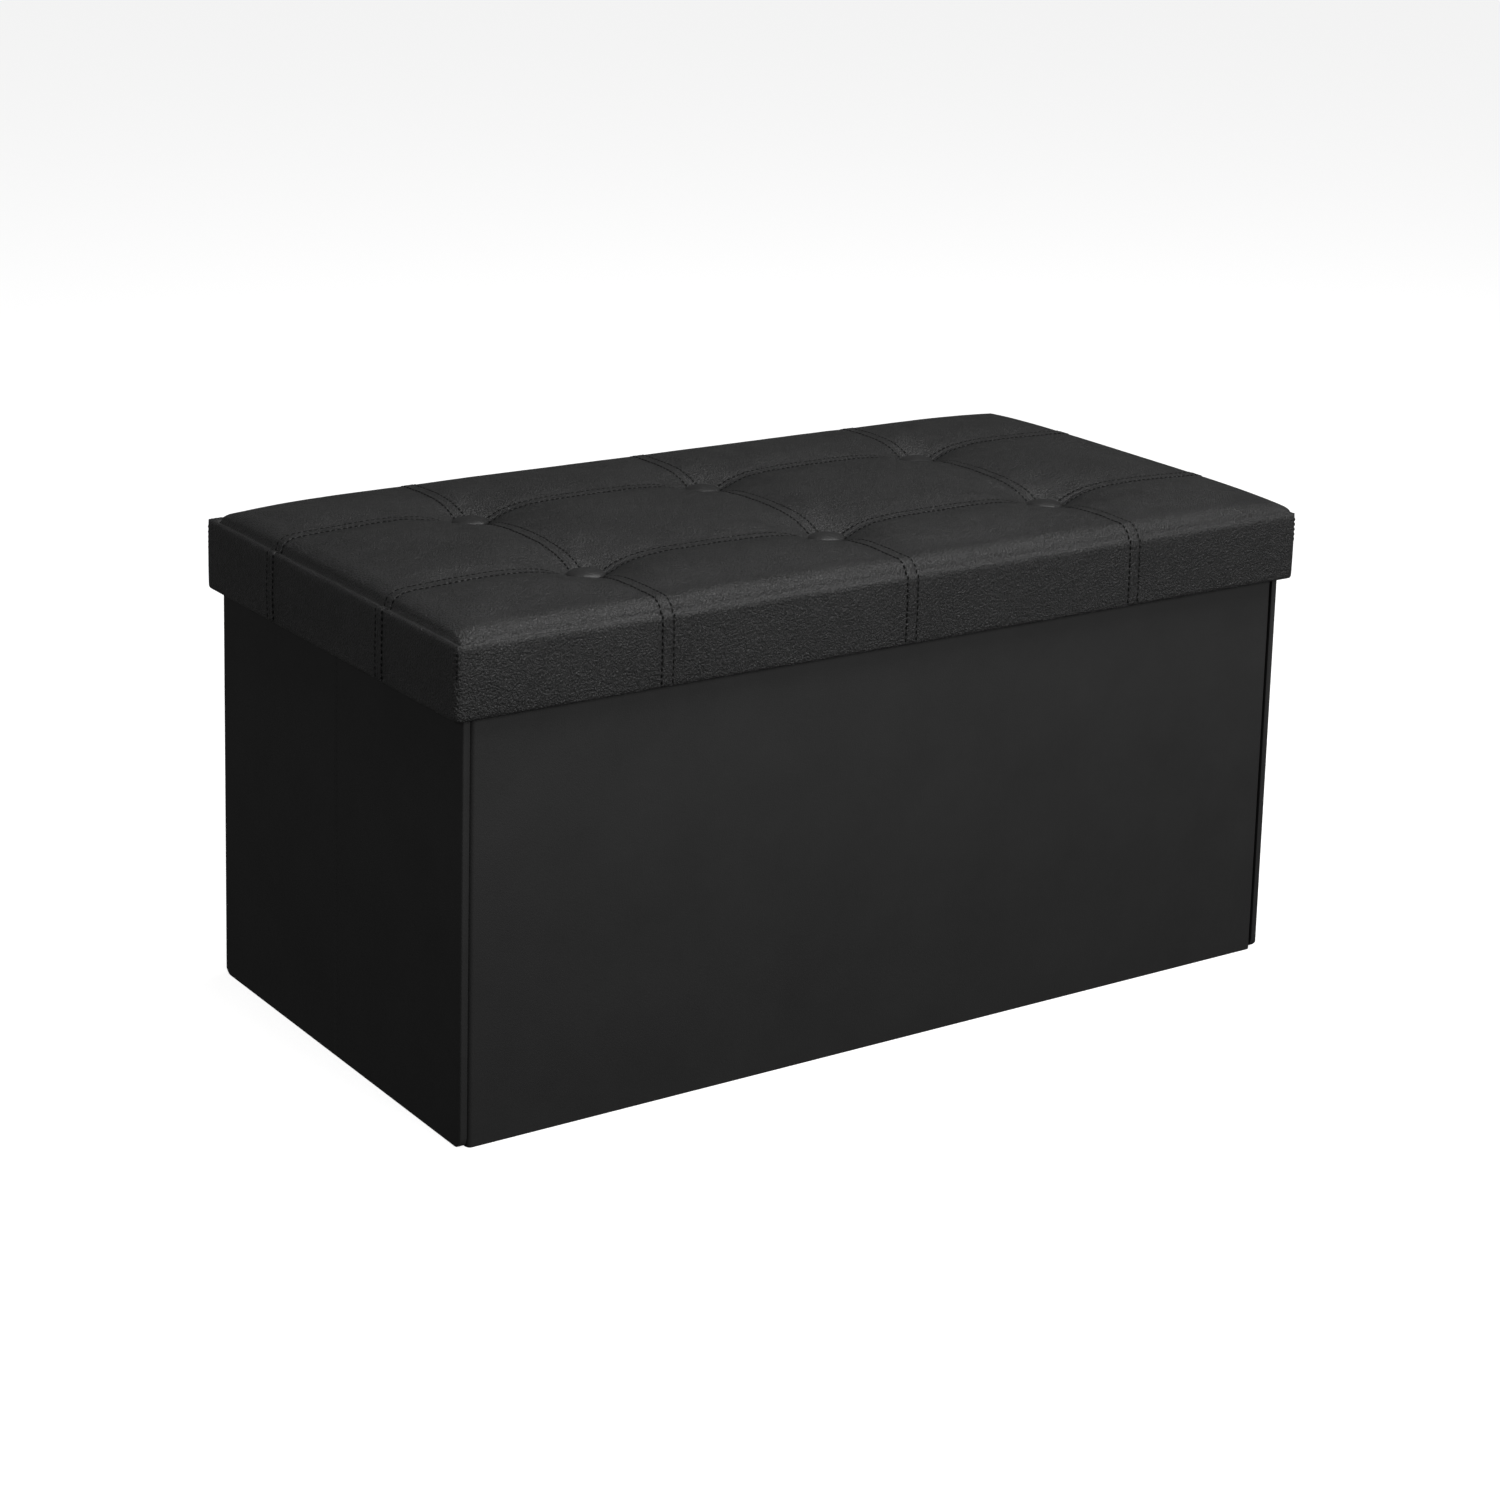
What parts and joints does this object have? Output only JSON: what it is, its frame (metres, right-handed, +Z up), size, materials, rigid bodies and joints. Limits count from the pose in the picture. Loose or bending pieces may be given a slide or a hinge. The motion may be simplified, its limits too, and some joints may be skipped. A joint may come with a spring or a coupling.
{
  "type": "folding storage ottoman",
  "caption": "Long tufted storage bench: padded lift-off lid over a soft-walled rectangular box whose ends fold inward, with a loose base board.",
  "frame": {"origin": "on the floor, under the middle of the lid's outline", "axes": "+X along the length towards the right end, -Y towards the front wall, +Z up"},
  "size_m": [0.76, 0.39, 0.385],
  "materials": {
    "lid_vinyl": "semi-gloss pebble grain",
    "wall_vinyl": "satin fine grain",
    "button_vinyl": "semi-gloss",
    "edge_vinyl": "satin",
    "lining_cloth": "matt bonded cloth",
    "ribbon": "matt woven",
    "board": "raw fibreboard",
    "foam": "open-cell foam",
    "thread": "matt twisted thread",
    "twine": "waxed twine",
    "steel": "plain"
  },
  "bodies": {
    "base": {"base_board": "board", "base_cover": "lining_cloth", "base_pull_tab": "ribbon"},
    "rear_wall": {"rear_wall_board": "board", "rear_wall_cover": "wall_vinyl", "rear_wall_lining": "lining_cloth", "rear_left_corner_bead": "edge_vinyl", "rear_right_corner_bead": "edge_vinyl"},
    "left_rear_half": {"left_rear_half_board": "board", "left_rear_half_cover": "wall_vinyl", "left_rear_half_lining": "lining_cloth", "left_crease_bead": "edge_vinyl"},
    "left_front_half": {"left_front_half_board": "board", "left_front_half_cover": "wall_vinyl", "left_front_half_lining": "lining_cloth"},
    "front_wall": {"front_wall_board": "board", "front_wall_cover": "wall_vinyl", "front_wall_lining": "lining_cloth", "front_left_corner_bead": "edge_vinyl", "front_right_corner_bead": "edge_vinyl"},
    "right_rear_half": {"right_rear_half_board": "board", "right_rear_half_cover": "wall_vinyl", "right_rear_half_lining": "lining_cloth", "right_crease_bead": "edge_vinyl"},
    "right_front_half": {"right_front_half_board": "board", "right_front_half_cover": "wall_vinyl", "right_front_half_lining": "lining_cloth"},
    "lid": {"lid_board": "board", "lid_lining": "lining_cloth", "lid_foam": "foam", "lid_top_cover": "lid_vinyl", "lid_skirt_board_front": "board", "lid_skirt_cover_front": "lid_vinyl", "lid_skirt_board_rear": "board", "lid_skirt_cover_rear": "lid_vinyl", "lid_skirt_board_left": "board", "lid_skirt_cover_left": "lid_vinyl", "lid_skirt_board_right": "board", "lid_skirt_cover_right": "lid_vinyl", "lid_buttons": "button_vinyl", "lid_button_twine": "twine", "lid_button_washers": "steel", "lid_staples": "steel"}
  },
  "joints": [
    {"name": "shell_lift", "type": "slide", "parent": "base", "child": "rear_wall", "axis": [0, 0, 1], "range_m": [0, 0.15]},
    {"name": "left_rear_corner", "type": "hinge", "parent": "rear_wall", "child": "left_rear_half", "pos_m": [-0.3618, 0.1788, 0], "axis": [0, 0, 1], "range_deg": [0, 90]},
    {"name": "left_crease", "type": "hinge", "parent": "left_rear_half", "child": "left_front_half", "pos_m": [-0.3702, 0, 0], "axis": [0, 0, 1], "range_deg": [-180, 0]},
    {"name": "left_front_corner", "type": "hinge", "parent": "left_front_half", "child": "front_wall", "pos_m": [-0.3618, -0.1788, 0], "axis": [0, 0, 1], "range_deg": [0, 90]},
    {"name": "right_rear_corner", "type": "hinge", "parent": "rear_wall", "child": "right_rear_half", "pos_m": [0.3618, 0.1788, 0], "axis": [0, 0, 1], "range_deg": [-90, 0]},
    {"name": "right_crease", "type": "hinge", "parent": "right_rear_half", "child": "right_front_half", "pos_m": [0.3702, 0, 0], "axis": [0, 0, 1], "range_deg": [0, 180]},
    {"name": "lid_lift", "type": "slide", "parent": "rear_wall", "child": "lid", "axis": [0, 0, 1], "range_m": [0, 0.3]}
  ],
  "couplings": [
    {"joint": "left_rear_corner", "follows": "shell_lift", "rad_per_m": 10.472},
    {"joint": "left_crease", "follows": "shell_lift", "rad_per_m": -20.944},
    {"joint": "left_front_corner", "follows": "shell_lift", "rad_per_m": 10.472},
    {"joint": "right_rear_corner", "follows": "shell_lift", "rad_per_m": -10.472},
    {"joint": "right_crease", "follows": "shell_lift", "rad_per_m": 20.944}
  ]
}
